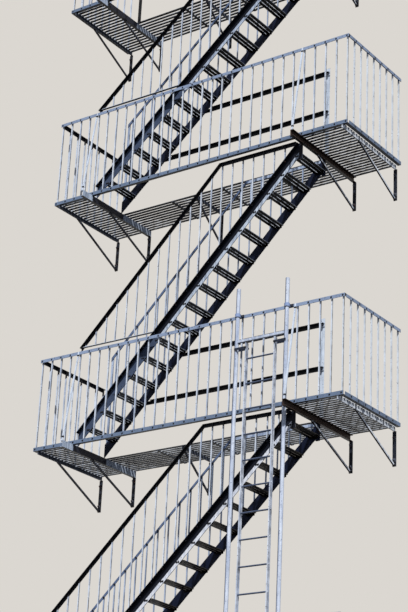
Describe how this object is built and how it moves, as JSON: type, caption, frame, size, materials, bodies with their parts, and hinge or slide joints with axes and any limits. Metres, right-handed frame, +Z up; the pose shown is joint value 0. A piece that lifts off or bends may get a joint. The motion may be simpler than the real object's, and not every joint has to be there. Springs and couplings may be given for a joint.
{
  "type": "wall fire escape stair",
  "caption": "Wall-mounted steel fire escape: railed grating balconies, steep open-tread flights between them and a drop ladder that slides in pipe guides.",
  "frame": {"origin": "back face of the leg of the lowest balcony's left wall bracket, half way up the leg, on the wall's face", "axes": "+X along the wall to the right, +Y into the wall, +Z up"},
  "size_m": [4.4, 1.43, 11.4791],
  "materials": {
    "frame_paint": "weathered gloss enamel",
    "floor_paint": "worn enamel with a little rust",
    "ladder_paint": "weathered gloss enamel"
  },
  "bodies": {
    "fire_escape": {"balcony_1_brackets": "frame_paint", "balcony_1_end_railings": "frame_paint", "balcony_1_front_railing": "frame_paint", "balcony_1_grating": "floor_paint", "balcony_1_headers": "frame_paint", "balcony_2_brackets": "frame_paint", "balcony_2_end_railings": "frame_paint", "balcony_2_front_railing": "frame_paint", "balcony_2_grating": "floor_paint", "balcony_2_headers": "frame_paint", "balcony_2_walkway_guard": "frame_paint", "balcony_3_brackets": "frame_paint", "balcony_3_end_railings": "frame_paint", "balcony_3_front_railing": "frame_paint", "balcony_3_grating": "floor_paint", "balcony_3_headers": "frame_paint", "balcony_3_walkway_guard": "frame_paint", "balcony_4_brackets": "frame_paint", "balcony_4_end_railings": "frame_paint", "balcony_4_front_railing": "frame_paint", "balcony_4_grating": "floor_paint", "balcony_4_headers": "frame_paint", "balcony_4_walkway_guard": "frame_paint", "flight_1_far_railing": "frame_paint", "flight_1_near_railing": "frame_paint", "flight_1_strings": "frame_paint", "flight_1_treads": "floor_paint", "flight_2_far_railing": "frame_paint", "flight_2_near_railing": "frame_paint", "flight_2_strings": "frame_paint", "flight_2_treads": "floor_paint", "flight_3_far_railing": "frame_paint", "flight_3_near_railing": "frame_paint", "flight_3_strings": "frame_paint", "flight_3_treads": "floor_paint", "ladder_guide_clamps": "ladder_paint", "ladder_guide_pipes": "ladder_paint", "ladder_stop_bar": "ladder_paint"},
    "drop_ladder": {"drop_ladder": "ladder_paint", "drop_ladder_arms": "ladder_paint"}
  },
  "joints": [
    {"name": "drop_ladder_slide", "type": "slide", "parent": "fire_escape", "child": "drop_ladder", "axis": [0, 0, -1], "range_m": [0, 3]}
  ]
}
